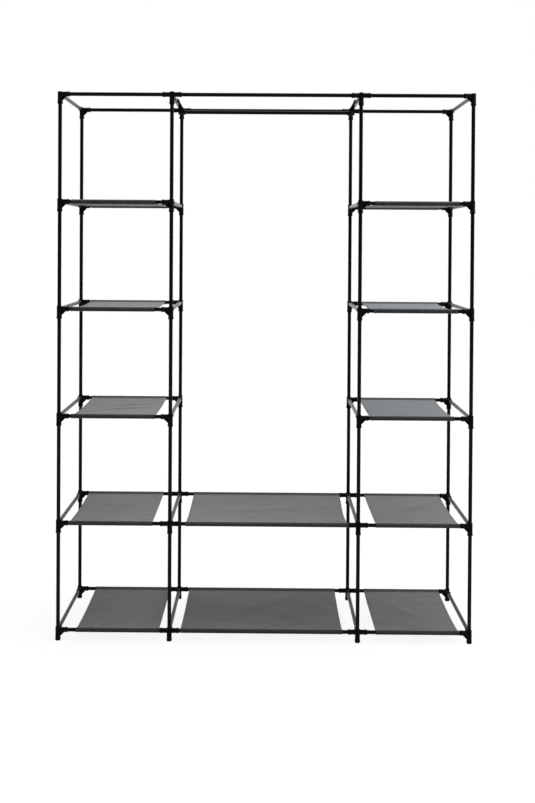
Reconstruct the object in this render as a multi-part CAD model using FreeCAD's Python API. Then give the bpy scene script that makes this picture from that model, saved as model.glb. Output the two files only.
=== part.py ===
"""Open tube-frame wardrobe: two shelf towers beside a hanging bay.

Steel tubes are pushed into moulded connectors, cloth shelves hang on their rails by sewn sleeves, and a
rod on two hook holders crosses the middle bay. Millimetres, +Z up. The origin is on the floor under the
middle of the frame, and the open front faces -Y.
"""
import FreeCAD, Part
import math
import os
from FreeCAD import Vector

# Steel tubes
TUBE_DIAMETER = 12.0
TUBE_WALL = 0.6
UPRIGHT_TUBE_LENGTH = 333.0
TOWER_RAIL_LENGTH = 333.0
MIDDLE_RAIL_LENGTH = 573.0
DEPTH_RAIL_LENGTH = 420.0

# Moulded connectors
SOCKET_CLEARANCE = 0.1  # between a tube and its socket, all round
SOCKET_WALL = 1.5  # round a rail
SLEEVE_WALL = 1.8  # round an upright tube
RAIL_INSERTION = 22.0  # how far a rail goes into its socket
UPRIGHT_INSERTION = 19.0  # how far an upright tube goes into the sleeve
STOP_THICKNESS = 2.0  # web in the sleeve that the upper and lower tubes meet
STOP_DROP = 10.5  # from the rail axes down to the middle of that web
LIP_LENGTH = 7.0
LIP_HEIGHT = 0.6
LIP_ROUND = 0.4
CAP_ROUND = 1.2
DOME_HEIGHT = 2.5
GUSSET_REACH = 12.0  # visible leg of the gusset along the sleeve and along the rail socket
GUSSET_THICKNESS = 3.0
GUSSET_RIM_THICKNESS = 2.0
GUSSET_RIM_WIDTH = 7.0

# Foot plugs
FOOT_FLANGE = 2.0
FOOT_ROUND = 0.6
FOOT_END_GAP = 5.0  # between the end of the plug and the web of the sleeve

# Hanging rod and its hook holders
ROD_DROP = 34.0  # from the axis of the depth rails down to the axis of the rod
ROD_PLACE = -30.0  # along Y, from the middle of the depth
HOOK_CLEARANCE = 0.3
HOOK_THICKNESS = 3.2
HOOK_WIDTH = 12.0
HOOK_WRAP = 140.0  # degrees, from the inner side of the depth rail over its top
HOLDER_WEB_THICKNESS = 5.0
HOLDER_WEB_SETBACK = 6.0  # from the socket mouth to the foot of the sloping web

# Cloth shelves
CLOTH_THICKNESS = 0.8
CLOTH_CLEARANCE = 0.3  # between a sleeve and its rail, all round
TOWER_CLOTH_SLACK = 29.0  # length of bare rail beside the cloth
MIDDLE_CLOTH_SLACK = 21.0
CLOTH_SAG = 4.0
CLOTH_DRAW_IN = 4.0  # of each free side edge at the middle of the depth
SEAM_DISTANCE = 24.0  # from the rail axis to the seam that closes the sleeve

# Levels are counted from the bottom, and all but the top one of a tower carry a shelf
LEVEL_COUNT = 6
SHELF_LEVELS = {"left": (0, 1, 2, 3, 4), "middle": (0, 1), "right": (0, 1, 2, 3, 4)}

# Where each cloth lies between its sockets at its front and rear rail, bottom shelf first:
# -1 is against the left sockets, 0 is in the middle and 1 is against the right sockets
CLOTH_PLACES = {
    "left": ((0.9, 0.85), (-0.65, -0.9), (-0.1, -0.4), (-0.7, -0.6), (-0.5, -0.5)),
    "middle": ((-0.75, -0.5), (0.65, 0.9)),
    "right": ((0.35, 0.85), (0.45, 0.8), (-0.9, 0.0), (0.0, 0.0), (0.1, 0.0)),
}

# Sizes that follow from those above
TUBE_RADIUS = TUBE_DIAMETER / 2
BORE_RADIUS = TUBE_RADIUS + SOCKET_CLEARANCE
SOCKET_RADIUS = BORE_RADIUS + SOCKET_WALL
SLEEVE_RADIUS = BORE_RADIUS + SLEEVE_WALL
ARM_LENGTH = SLEEVE_RADIUS + RAIL_INSERTION
SLEEVE_ABOVE = UPRIGHT_INSERTION + STOP_THICKNESS / 2 - STOP_DROP
SLEEVE_BELOW = UPRIGHT_INSERTION + STOP_THICKNESS / 2 + STOP_DROP
LEVEL_PITCH = UPRIGHT_TUBE_LENGTH + STOP_THICKNESS
TOWER_PITCH = TOWER_RAIL_LENGTH + 2 * SLEEVE_RADIUS
MIDDLE_PITCH = MIDDLE_RAIL_LENGTH + 2 * SLEEVE_RADIUS
DEPTH_PITCH = DEPTH_RAIL_LENGTH + 2 * SLEEVE_RADIUS
INNER_X = MIDDLE_PITCH / 2
OUTER_X = INNER_X + TOWER_PITCH
TOP_LEVEL = LEVEL_COUNT - 1
MIDDLE_RAIL_LEVELS = SHELF_LEVELS["middle"] + (TOP_LEVEL,)
HOOK_INNER_RADIUS = TUBE_RADIUS + HOOK_CLEARANCE
HOOK_OUTER_RADIUS = HOOK_INNER_RADIUS + HOOK_THICKNESS
CLOTH_INNER_RADIUS = TUBE_RADIUS + CLOTH_CLEARANCE
CLOTH_OUTER_RADIUS = CLOTH_INNER_RADIUS + CLOTH_THICKNESS

# Posts: their place across, and the way from each to its own tower
COLUMN_X = {"left_outer": -OUTER_X, "left_inner": -INNER_X, "right_inner": INNER_X, "right_outer": OUTER_X}
TOWER_SIDE = {"left_outer": 1, "left_inner": -1, "right_inner": 1, "right_outer": -1}
ROW_Y = {"front": -DEPTH_PITCH / 2, "rear": DEPTH_PITCH / 2}
DEPTH_SIDE = {"front": 1, "rear": -1}

# Bays: the post at their left end, the length of their rails and the slack of their cloths
BAY_START = {"left": "left_outer", "middle": "left_inner", "right": "right_inner"}
BAY_RAIL = {"left": TOWER_RAIL_LENGTH, "middle": MIDDLE_RAIL_LENGTH, "right": TOWER_RAIL_LENGTH}
BAY_SLACK = {"left": TOWER_CLOTH_SLACK, "middle": MIDDLE_CLOTH_SLACK, "right": TOWER_CLOTH_SLACK}

X_AXIS = Vector(1, 0, 0)
Y_AXIS = Vector(0, 1, 0)
Z_AXIS = Vector(0, 0, 1)


def level_height(level):
    """Height of the rail axes of a level above the floor."""
    return FOOT_FLANGE + SLEEVE_BELOW + level * LEVEL_PITCH


def circular_edges(solid):
    """The round edges of a cylinder, without its seam."""
    return [edge for edge in solid.Edges if isinstance(edge.Curve, Part.Circle)]


def round_edge(solid, end):
    """The highest (1) or the lowest (-1) round edge of a cylinder."""
    return max(circular_edges(solid), key=lambda edge: end * edge.CenterOfMass.z)


def prism(points, depth, direction):
    """A straight-sided solid centred on the plane of its outline."""
    start = direction * (-depth / 2)
    wire = Part.makePolygon([point + start for point in points + points[:1]])
    return Part.Face(wire).extrude(direction * depth)


def tube(start, direction, length):
    """A round steel tube."""
    outer = Part.makeCylinder(TUBE_RADIUS, length, start, direction)
    bore = Part.makeCylinder(TUBE_RADIUS - TUBE_WALL, length, start, direction)
    return outer.cut(bore)


def lip(direction, mouth, radius):
    """The collar round the mouth of a socket of the given radius."""
    base = direction * (mouth - LIP_LENGTH)
    ring = Part.makeCylinder(radius + LIP_HEIGHT, LIP_LENGTH, base, direction)
    return ring.makeFillet(LIP_ROUND, circular_edges(ring))


def rail_socket(direction):
    """The outside of a rail socket, from the post axis to its mouth."""
    body = Part.makeCylinder(SOCKET_RADIUS, ARM_LENGTH, Vector(), direction)
    return body.fuse(lip(direction, ARM_LENGTH, SOCKET_RADIUS))


def rail_bore(direction):
    """The space that a rail fills in its socket."""
    return Part.makeCylinder(BORE_RADIUS, RAIL_INSERTION, direction * SLEEVE_RADIUS, direction)


def gusset(side):
    """The three-cornered web under a rail socket, with a rim along its slope."""
    leg = SLEEVE_RADIUS + SOCKET_RADIUS + GUSSET_REACH
    rim = GUSSET_RIM_THICKNESS * math.sqrt(2)
    along = X_AXIS * side
    down = Z_AXIS * -1
    web = prism([Vector(), along * leg, down * leg], GUSSET_THICKNESS, Y_AXIS)
    strip = [along * leg, down * leg, down * (leg - rim), along * (leg - rim)]
    return web.fuse(prism(strip, GUSSET_RIM_WIDTH, Y_AXIS))


def dome():
    """The low round cap of a top cross connector, with the part of it inside the sleeve."""
    ball_radius = (SLEEVE_RADIUS**2 + DOME_HEIGHT**2) / (2 * DOME_HEIGHT)
    ball = Part.makeSphere(ball_radius, Vector(0, 0, SLEEVE_RADIUS + DOME_HEIGHT - ball_radius))
    return ball.common(Part.makeCylinder(SLEEVE_RADIUS, SLEEVE_RADIUS + DOME_HEIGHT))


def sleeve(top):
    """The upright sleeve of a connector: open at the top, or closed with a flat or a domed cap."""
    height = SLEEVE_ABOVE if top == "open" else SLEEVE_RADIUS
    body = Part.makeCylinder(SLEEVE_RADIUS, SLEEVE_BELOW + height, Vector(0, 0, -SLEEVE_BELOW))
    if top == "flat":
        body = body.makeFillet(CAP_ROUND, [round_edge(body, 1)])
    if top == "domed":
        body = body.fuse(dome())
    return body.fuse(lip(Z_AXIS * -1, SLEEVE_BELOW, SLEEVE_RADIUS))


def connector(rail_sides, depth_side, top):
    """A connector at the origin, with rail sockets to the given sides and one depth socket."""
    directions = [X_AXIS * side for side in rail_sides] + [Y_AXIS * depth_side]
    body = sleeve(top).multiFuse([rail_socket(direction) for direction in directions])
    if len(rail_sides) == 1:
        body = body.fuse(gusset(rail_sides[0]))
    bores = [rail_bore(direction) for direction in directions]
    bores.append(Part.makeCylinder(BORE_RADIUS, UPRIGHT_INSERTION, Vector(0, 0, -SLEEVE_BELOW)))
    if top == "open":
        seat = Vector(0, 0, SLEEVE_ABOVE - UPRIGHT_INSERTION)
        bores.append(Part.makeCylinder(BORE_RADIUS, UPRIGHT_INSERTION, seat))
    for bore in bores:
        body = body.cut(bore)
    return body.removeSplitter()


def rail_sides_at(column, level):
    """The sides to which a post has rails at a level."""
    own = TOWER_SIDE[column]
    if column.endswith("inner") and level in MIDDLE_RAIL_LEVELS:
        return (own, -own)
    return (own,)


def connectors_at(post_kind, level):
    """The four connectors of the outer or the inner posts at one level."""
    top = "open"
    if level == TOP_LEVEL:
        top = "flat" if post_kind == "outer" else "domed"
    solids = []
    for column in COLUMN_X:
        if not column.endswith(post_kind):
            continue
        for row in ROW_Y:
            solid = connector(rail_sides_at(column, level), DEPTH_SIDE[row], top)
            solid.translate(Vector(COLUMN_X[column], ROW_Y[row], level_height(level)))
            solids.append(solid)
    return solids


def upright_tubes(column, row):
    """The tubes of one post, which meet end to end at the webs of its connectors."""
    solids = []
    for level in range(TOP_LEVEL):
        foot = level_height(level) - STOP_DROP + STOP_THICKNESS / 2
        solids.append(tube(Vector(COLUMN_X[column], ROW_Y[row], foot), Z_AXIS, UPRIGHT_TUBE_LENGTH))
    return solids


def bay_rails(bay, level):
    """The front and rear rail of a bay at one level."""
    start = COLUMN_X[BAY_START[bay]] + SLEEVE_RADIUS
    height = level_height(level)
    return [tube(Vector(start, y, height), X_AXIS, BAY_RAIL[bay]) for y in ROW_Y.values()]


def depth_rail(column, level):
    """The rail from the front post to the rear post of a side frame."""
    start = Vector(COLUMN_X[column], ROW_Y["front"] + SLEEVE_RADIUS, level_height(level))
    return tube(start, Y_AXIS, DEPTH_RAIL_LENGTH)


def foot_plug(x, y):
    """A plug in the bottom sleeve of a post, with the flange that it stands on."""
    flange = Part.makeCylinder(SLEEVE_RADIUS, FOOT_FLANGE, Vector(x, y, 0))
    flange = flange.makeFillet(FOOT_ROUND, [round_edge(flange, -1)])
    spigot_length = UPRIGHT_INSERTION - FOOT_END_GAP
    spigot = Part.makeCylinder(TUBE_RADIUS, spigot_length, Vector(x, y, FOOT_FLANGE))
    return flange.fuse(spigot)


def foot_plugs():
    """All the foot plugs."""
    return [foot_plug(x, y) for x in COLUMN_X.values() for y in ROW_Y.values()]


def hook(side):
    """The hook over a depth rail at the origin, which comes up on the inner side of the rail."""
    turn = math.radians(HOOK_WRAP)
    inward = X_AXIS * side
    start = Y_AXIS * (-HOOK_WIDTH / 2)

    def on_arc(radius, angle):
        return inward * (radius * math.cos(angle)) + Z_AXIS * (radius * math.sin(angle)) + start

    inner = Part.Arc(*[on_arc(HOOK_INNER_RADIUS, angle) for angle in (0, turn / 2, turn)])
    outer = Part.Arc(*[on_arc(HOOK_OUTER_RADIUS, angle) for angle in (0, turn / 2, turn)])
    tip = Part.LineSegment(inner.EndPoint, outer.EndPoint)
    foot = Part.LineSegment(inner.StartPoint, outer.StartPoint)
    wire = Part.Wire(Part.__sortEdges__([edge.toShape() for edge in (inner, tip, outer, foot)]))
    return Part.Face(wire).extrude(Y_AXIS * HOOK_WIDTH)


def rod_holder(side):
    """A hook holder at the origin of its depth rail, with its rod socket towards the given side."""
    inward = X_AXIS * side
    axis = Z_AXIS * -ROD_DROP
    stem_top = inward * HOOK_INNER_RADIUS
    stem_side = inward * HOOK_OUTER_RADIUS
    stem = [stem_top, stem_side, stem_side + axis, stem_top + axis]
    slope_foot = inward * (ARM_LENGTH - HOLDER_WEB_SETBACK) + Z_AXIS * (SOCKET_RADIUS - ROD_DROP)
    web = [stem_side, slope_foot, slope_foot - Z_AXIS * SOCKET_RADIUS, stem_side + axis]
    closed_end = SLEEVE_RADIUS - SOCKET_WALL
    socket = Part.makeCylinder(SOCKET_RADIUS, ARM_LENGTH - closed_end, inward * closed_end + axis, inward)
    mouth_lip = lip(inward, ARM_LENGTH, SOCKET_RADIUS)
    mouth_lip.translate(axis)
    bore = rail_bore(inward)
    bore.translate(axis)
    webs = [prism(stem, HOOK_WIDTH, Y_AXIS), prism(web, HOLDER_WEB_THICKNESS, Y_AXIS)]
    return hook(side).multiFuse([socket, mouth_lip] + webs).cut(bore).removeSplitter()


def placed_rod_holder(column):
    """A hook holder on the top depth rail of an inner side frame."""
    holder = rod_holder(-TOWER_SIDE[column])
    holder.translate(Vector(COLUMN_X[column], ROD_PLACE, level_height(TOP_LEVEL)))
    return holder


def hanging_rod():
    """The rod between the closed ends of the two holders, as long as a middle rail."""
    start = Vector(-INNER_X + SLEEVE_RADIUS, ROD_PLACE, level_height(TOP_LEVEL) - ROD_DROP)
    return tube(start, X_AXIS, MIDDLE_RAIL_LENGTH)


class ClothSection:
    """Points of a shelf cloth in the plane across its rails, with the rail axes at height 0.

    The sheet hangs in a shallow arc that is tangent to the top of both sleeves, so that its upper and lower
    faces and the sleeves share their centres. Each sleeve goes round the outer side of its rail and back up
    to the seam under the sheet.
    """

    def __init__(self):
        half = DEPTH_PITCH / 2
        self.centre_distance = (half**2 + CLOTH_SAG**2) / (2 * CLOTH_SAG)
        self.centre_height = self.centre_distance - CLOTH_SAG
        self.upper_radius = self.centre_distance - CLOTH_OUTER_RADIUS
        self.lower_radius = self.upper_radius + CLOTH_THICKNESS

    def sheet_point(self, radius, along):
        """A point of a face of the sheet, at a distance from the middle of the depth."""
        return (along, self.centre_height - math.sqrt(radius**2 - along**2))

    def on_sleeve(self, radius, angle):
        """A point of the front sleeve, by its angle from the inward direction."""
        return (-DEPTH_PITCH / 2 + radius * math.cos(angle), radius * math.sin(angle))

    def leave_angle(self):
        """Where the sheet leaves the sleeve."""
        return math.atan2(self.centre_height, DEPTH_PITCH / 2)

    def seam(self):
        """The point under the sheet where the inner face of the sleeve comes back to it."""
        return self.sheet_point(self.lower_radius, -DEPTH_PITCH / 2 + SEAM_DISTANCE)

    def return_angle(self):
        """Where the returning flap leaves the round of the sleeve, below the rail."""
        away = self.seam()[0] + DEPTH_PITCH / 2
        up = self.seam()[1]
        return math.atan2(up, away) - math.acos(CLOTH_INNER_RADIUS / math.hypot(away, up))

    def flap_end(self):
        """The point under the sheet where the outer face of the flap meets it."""
        turn = self.return_angle()
        start = self.on_sleeve(CLOTH_OUTER_RADIUS, turn)
        ahead = (-math.sin(turn), math.cos(turn))
        offset = (start[0], start[1] - self.centre_height)
        toward = offset[0] * ahead[0] + offset[1] * ahead[1]
        room = offset[0] ** 2 + offset[1] ** 2 - self.lower_radius**2
        step = -toward - math.sqrt(toward**2 - room)
        return (start[0] + step * ahead[0], start[1] + step * ahead[1])


def section_edges(pieces):
    """Edges across the rails: two points make a line and three make an arc."""
    edges = []
    for piece in pieces:
        points = [Vector(0, along, height) for along, height in piece]
        curve = Part.LineSegment(*points) if len(points) == 2 else Part.Arc(*points)
        edges.append(curve.toShape())
    return edges


def mirrored(piece):
    """The same line or arc at the other rail."""
    return [(-along, height) for along, height in piece]


def cloth_section():
    """The face of a shelf cloth across its rails, with the two open sleeves."""
    section = ClothSection()
    leave = section.leave_angle()
    back = section.return_angle() + 2 * math.pi
    middle = (leave + back) / 2
    outer_round = [section.on_sleeve(CLOTH_OUTER_RADIUS, angle) for angle in (leave, middle, back)]
    inner_round = [section.on_sleeve(CLOTH_INNER_RADIUS, angle) for angle in (leave, middle, back)]
    outer_flap = [outer_round[2], section.flap_end()]
    inner_flap = [inner_round[2], section.seam()]
    first = outer_round[0]
    upper = [first, section.sheet_point(section.upper_radius, 0), (-first[0], first[1])]
    end = outer_flap[1]
    lower = [end, section.sheet_point(section.lower_radius, 0), (-end[0], end[1])]
    halfway = (inner_round[0][0] + inner_flap[1][0]) / 2
    roof = [inner_round[0], section.sheet_point(section.lower_radius, halfway), inner_flap[1]]
    outline = [upper, outer_round, outer_flap, lower, mirrored(outer_flap), mirrored(outer_round)]
    opening = [inner_round, inner_flap, roof]
    wires = []
    for pieces in (outline, opening, [mirrored(piece) for piece in opening]):
        wires.append(Part.Wire(Part.__sortEdges__(section_edges(pieces))))
    return Part.Face(wires[0]).cut([Part.Face(wire) for wire in wires[1:]])


def cloth_plan(left, right):
    """The outline of a cloth from above: its front and rear x on each side, and the drawn-in side edges."""
    half = DEPTH_PITCH / 2
    end = half + 2 * CLOTH_OUTER_RADIUS
    edges = []
    for (front_x, rear_x), inward in ((left, 1), (right, -1)):
        middle = Vector((front_x + rear_x) / 2 + inward * CLOTH_DRAW_IN, 0, 0)
        front = Vector(front_x, -half, 0)
        rear = Vector(rear_x, half, 0)
        edges.append(Part.Arc(front, middle, rear).toShape())
        edges.append(Part.makeLine(Vector(front_x, -end, 0), front))
        edges.append(Part.makeLine(rear, Vector(rear_x, end, 0)))
    edges.append(Part.makeLine(Vector(left[0], -end, 0), Vector(right[0], -end, 0)))
    edges.append(Part.makeLine(Vector(left[1], end, 0), Vector(right[1], end, 0)))
    return Part.Face(Part.Wire(Part.__sortEdges__(edges)))


def shelf_cloth(bay, level):
    """A shelf cloth on its two rails, at its place between the sockets."""
    start = COLUMN_X[BAY_START[bay]]
    middle = start + SLEEVE_RADIUS + BAY_RAIL[bay] / 2
    half_width = (BAY_RAIL[bay] - 2 * RAIL_INSERTION - BAY_SLACK[bay]) / 2
    places = CLOTH_PLACES[bay][SHELF_LEVELS[bay].index(level)]
    centres = [middle + place * BAY_SLACK[bay] / 2 for place in places]
    left = [centre - half_width for centre in centres]
    right = [centre + half_width for centre in centres]
    section = cloth_section()
    section.translate(Vector(start, 0, 0))
    band = section.extrude(X_AXIS * (BAY_RAIL[bay] + 2 * SLEEVE_RADIUS))
    plan = cloth_plan(left, right)
    plan.translate(Vector(0, 0, -CLOTH_OUTER_RADIUS - CLOTH_SAG))
    cloth = band.common(plan.extrude(Z_AXIS * (2 * CLOTH_OUTER_RADIUS + 2 * CLOTH_SAG)))
    cloth.translate(Vector(0, 0, level_height(level)))
    return cloth


def frame_nodes():
    """Tubes, connectors and foot plugs, by node name."""
    nodes = {}
    for column in COLUMN_X:
        for row in ROW_Y:
            nodes[f"upright_{column}_{row}"] = upright_tubes(column, row)
        levels = range(LEVEL_COUNT) if column.endswith("outer") else range(TOP_LEVEL)
        nodes[f"depth_rails_{column}"] = [depth_rail(column, level) for level in levels]
    for bay, levels in SHELF_LEVELS.items():
        for level in levels:
            nodes[f"shelf_rails_{bay}_{level + 1}"] = bay_rails(bay, level)
        nodes[f"top_rails_{bay}"] = bay_rails(bay, TOP_LEVEL)
    for side in ("left", "right"):
        nodes[f"rod_bearer_{side}"] = [depth_rail(f"{side}_inner", TOP_LEVEL)]
    for post_kind in ("outer", "inner"):
        for level in range(TOP_LEVEL):
            nodes[f"connectors_{post_kind}_{level + 1}"] = connectors_at(post_kind, level)
        nodes[f"connectors_{post_kind}_top"] = connectors_at(post_kind, TOP_LEVEL)
    nodes["foot_plugs"] = foot_plugs()
    return nodes


def moving_nodes():
    """The rod with its holders and the shelf cloths, by node name."""
    nodes = {"hanging_rod": [hanging_rod()]}
    for side in ("left", "right"):
        nodes[f"rod_holder_{side}"] = [placed_rod_holder(f"{side}_inner")]
    for bay, levels in SHELF_LEVELS.items():
        for level in levels:
            nodes[f"shelf_cloth_{bay}_{level + 1}"] = [shelf_cloth(bay, level)]
    return nodes


def export(nodes):
    """One file per node, which may hold several separate solids."""
    os.makedirs("parts", exist_ok=True)
    for name, shapes in nodes.items():
        solids = [solid for shape in shapes for solid in shape.Solids]
        Part.makeCompound(solids).exportStep(f"parts/{name}.step")


export({**frame_nodes(), **moving_nodes()})
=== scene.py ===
"""Looks of an open tube-frame wardrobe, laid out as an add-on and run as a script.

Two towers of cloth shelves stand beside a hanging bay. Black steel tubes are pushed into moulded
connectors, and each cloth hangs on its front and rear rail by a sewn sleeve. Metres, +Z up, and the open
front faces -Y.
"""
import math

import bmesh
import bpy
from bpy.props import FloatProperty, FloatVectorProperty, IntProperty, PointerProperty
from mathutils import Matrix, Vector, noise


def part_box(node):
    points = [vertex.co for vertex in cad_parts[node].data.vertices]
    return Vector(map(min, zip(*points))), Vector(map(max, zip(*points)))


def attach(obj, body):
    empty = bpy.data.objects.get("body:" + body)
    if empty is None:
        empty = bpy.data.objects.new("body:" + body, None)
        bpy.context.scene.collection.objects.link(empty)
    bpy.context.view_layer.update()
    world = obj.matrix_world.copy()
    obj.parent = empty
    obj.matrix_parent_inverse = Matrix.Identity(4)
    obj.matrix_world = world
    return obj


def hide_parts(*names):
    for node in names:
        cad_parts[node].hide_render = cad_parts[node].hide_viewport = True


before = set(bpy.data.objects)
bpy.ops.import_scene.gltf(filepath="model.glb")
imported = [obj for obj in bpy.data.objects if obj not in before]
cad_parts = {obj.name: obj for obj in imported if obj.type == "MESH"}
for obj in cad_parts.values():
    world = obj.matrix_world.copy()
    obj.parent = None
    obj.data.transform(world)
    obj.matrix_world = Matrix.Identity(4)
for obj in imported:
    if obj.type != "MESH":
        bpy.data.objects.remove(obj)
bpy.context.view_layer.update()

bl_info = {
    "name": "Tube-frame wardrobe",
    "version": (1, 0, 0),
    "blender": (4, 5, 0),
    "location": "View3D > Sidebar > Wardrobe",
    "description": "Dresses the wardrobe's frame, cloth shelves and hanging rod, and sets its stage",
    "category": "Add Mesh",
}

COLUMNS = ("left_outer", "left_inner", "right_inner", "right_outer")
ROWS = ("front", "rear")
TOWER_SIDE = {"left_outer": 1, "left_inner": -1, "right_inner": 1, "right_outer": -1}
DEPTH_SIDE = {"front": 1, "rear": -1}
SHELF_COUNT = {"left": 5, "middle": 2, "right": 5}
BAY_POSTS = {"left": COLUMNS[0:2], "middle": COLUMNS[1:3], "right": COLUMNS[2:4]}


def centre(node):
    """Middle of a CAD node's box, to a tenth of a millimetre."""
    low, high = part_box(node)
    return Vector(round(value, 4) for value in (low + high) / 2)


POST = {(column, row): centre(f"upright_{column}_{row}") for column in COLUMNS for row in ROWS}
LEVELS = [centre(f"shelf_rails_left_{number}").z for number in range(1, 6)] + [centre("top_rails_left").z]
TOP = len(LEVELS) - 1
HALF_DEPTH = POST["left_outer", "rear"].y

# Fixed sizes of the mouldings
SHOWN_BORE = 0.004  # depth to which an open mouth is modelled
CAP_EDGE = 0.0012  # rounding of a flat cap
RIB_EDGE = 0.0004  # rounding of thin ribs and plates
GUSSET_WEB = 0.003  # thickness of a gusset
GUSSET_RIM = 0.007  # width of the rim along its slope
RIM_HEIGHT = 0.002
HOOK_INNER = 0.0063  # radii of a rod holder's hook
HOOK_OUTER = 0.0108
HOOK_WRAP = math.radians(140)  # from its shank over the rail
HOOK_WIDTH = 0.012
BRACE_WIDTH = 0.005  # of the web between the hook and the rod's socket
BRACE_INSET = 0.004  # from the socket's mouth to the web's foot
PLUG_EDGE = 0.0006  # rounding of a foot plug
PLUG_HEAD = 0.002  # height of its head
PLUG_STEM = 0.006  # radius of its stem
PLUG_HEIGHT = 0.016

# Fixed sizes of the cloths
PRESS_PITCH = 0.0032  # of the points pressed into the cloth
SLEEVE_STEPS = 24  # points round a rail
SEAM_BEND = 0.004  # from a sleeve's seam to the flat sheet
HELD_STRIP = 0.07  # beside a seam, in which creases fade
SOFT_WAVES = ((0.0011, 9, 6), (0.0006, 24, 16))  # height, then waves per metre across and along


# Settings that a user may change


class TubeSettings(bpy.types.PropertyGroup):
    """Steel tubes."""

    radius: FloatProperty(name="Radius", description="Outside, of every tube", default=0.006, unit="LENGTH")
    sides: IntProperty(name="Sides", description="Faces round a tube", default=36, min=12)
    colour: FloatVectorProperty(
        name="Coat", description="Colour of the coating", default=(0.0036, 0.0037, 0.0039), subtype="COLOR"
    )


class ConnectorSettings(bpy.types.PropertyGroup):
    """Moulded connectors, rod holders and foot plugs."""

    bore: FloatProperty(name="Bore", description="Radius of a tube's bore", default=0.0061, unit="LENGTH")
    socket: FloatProperty(name="Socket", description="Radius, for a rail", default=0.0076, unit="LENGTH")
    sleeve: FloatProperty(name="Sleeve", description="Radius, for a post", default=0.0079, unit="LENGTH")
    reach: FloatProperty(
        name="Reach", description="From a post's axis to a socket's mouth", default=0.0299, unit="LENGTH"
    )
    above: FloatProperty(name="Above", description="Over the rails' axis", default=0.0095, unit="LENGTH")
    below: FloatProperty(name="Below", description="Under the rails' axis", default=0.0305, unit="LENGTH")
    lip_length: FloatProperty(name="Lip length", description="Of a collar", default=0.007, unit="LENGTH")
    lip_height: FloatProperty(name="Lip height", description="Of a collar", default=0.0006, unit="LENGTH")
    edge: FloatProperty(name="Edge", description="Rounding of moulded edges", default=0.0005, unit="LENGTH")
    dome: FloatProperty(name="Dome", description="Height of the domed caps", default=0.0025, unit="LENGTH")
    gusset: FloatProperty(
        name="Gusset", description="Leg of the gusset from the axes", default=0.0275, unit="LENGTH"
    )
    sides: IntProperty(name="Sides", description="Faces round a socket", default=40, min=12)
    colour: FloatVectorProperty(
        name="Plastic", description="Colour of mouldings", default=(0.0034, 0.0035, 0.0037), subtype="COLOR"
    )


class ClothSettings(bpy.types.PropertyGroup):
    """Cloth shelves and their stitching."""

    thickness: FloatProperty(name="Thickness", description="Of one layer", default=0.0008, unit="LENGTH")
    clearance: FloatProperty(
        name="Clearance", description="Between a sleeve and its rail", default=0.0003, unit="LENGTH"
    )
    sag: FloatProperty(name="Sag", description="At the middle of the depth", default=0.004, unit="LENGTH")
    draw_in: FloatProperty(
        name="Draw-in", description="Of most free edges at its widest", default=0.0008, unit="LENGTH"
    )
    seam: FloatProperty(
        name="Seam", description="From the rail's axis to the sleeve's seam", default=0.0115, unit="LENGTH"
    )
    allowance: FloatProperty(
        name="Allowance", description="Cloth past the sleeve's seam", default=0.008, unit="LENGTH"
    )
    hem: FloatProperty(name="Hem", description="Width of the side hems", default=0.008, unit="LENGTH")
    spacing: FloatProperty(name="Spacing", description="Of the cloth's mesh", default=0.0052, unit="LENGTH")
    stitch_pitch: FloatProperty(
        name="Stitch pitch", description="From one stitch to the next", default=0.0045, unit="LENGTH"
    )
    stitch_length: FloatProperty(
        name="Stitch length", description="Visible length of a stitch", default=0.0034, unit="LENGTH"
    )
    thread: FloatProperty(name="Thread", description="Radius of the thread", default=0.00026, unit="LENGTH")
    colour: FloatVectorProperty(
        name="Cloth", description="Colour of the cloth", default=(0.054, 0.0542, 0.0547), subtype="COLOR"
    )
    thread_colour: FloatVectorProperty(
        name="Thread", description="Colour of the thread", default=(0.03, 0.031, 0.033), subtype="COLOR"
    )


class StageSettings(bpy.types.PropertyGroup):
    """Floor, light and camera."""

    floor: FloatVectorProperty(
        name="Floor", description="Colour of the floor", default=(0.4, 0.4, 0.4), subtype="COLOR"
    )
    sky: FloatProperty(name="Sky", description="Strength of the light from all round", default=0.9)
    key: FloatProperty(name="Key", description="Power of the lamp overhead, in watts", default=185.0)
    camera: FloatVectorProperty(
        name="Camera", description="Place of the camera", default=(-0.0062, -3.8642, 1.2477), subtype="XYZ"
    )
    lens: FloatProperty(name="Lens", description="Focal length in millimetres", default=52.45)
    shift: FloatVectorProperty(
        name="Shift", description="Shift of the picture", default=(0.0164, -0.1813), size=2
    )
    turn: FloatVectorProperty(
        name="Turn", description="Pitch, roll and yaw", default=(-0.0113, -0.0061, 0.008), subtype="EULER"
    )


class WardrobeSettings(bpy.types.PropertyGroup):
    """All settings of the wardrobe."""

    tubes: PointerProperty(type=TubeSettings)
    connectors: PointerProperty(type=ConnectorSettings)
    cloth: PointerProperty(type=ClothSettings)
    stage: PointerProperty(type=StageSettings)


# Nodes


def add_node(tree, kind, settings, sockets):
    """Adds a node with its settings, then its values and links."""
    made = tree.nodes.new(kind)
    for name, value in settings.items():
        if name == "stops":
            set_stops(made.color_ramp, value)
        else:
            setattr(made, name, value)
    for name, value in sockets.items():
        join(tree, value, made.inputs[name])
    return made


def set_stops(ramp, stops):
    """Gives a ramp its places and grey levels."""
    while len(ramp.elements) < len(stops):
        ramp.elements.new(0.5)
    for element, (place, level) in zip(ramp.elements, stops):
        element.position = place
        element.color = (level, level, level, 1)


def join(tree, value, target):
    """Links or sets a socket."""
    if isinstance(value, Value):
        tree.links.new(value.socket, target)
    elif isinstance(value, bpy.types.NodeSocket):
        tree.links.new(value, target)
    else:
        target.default_value = value


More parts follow.
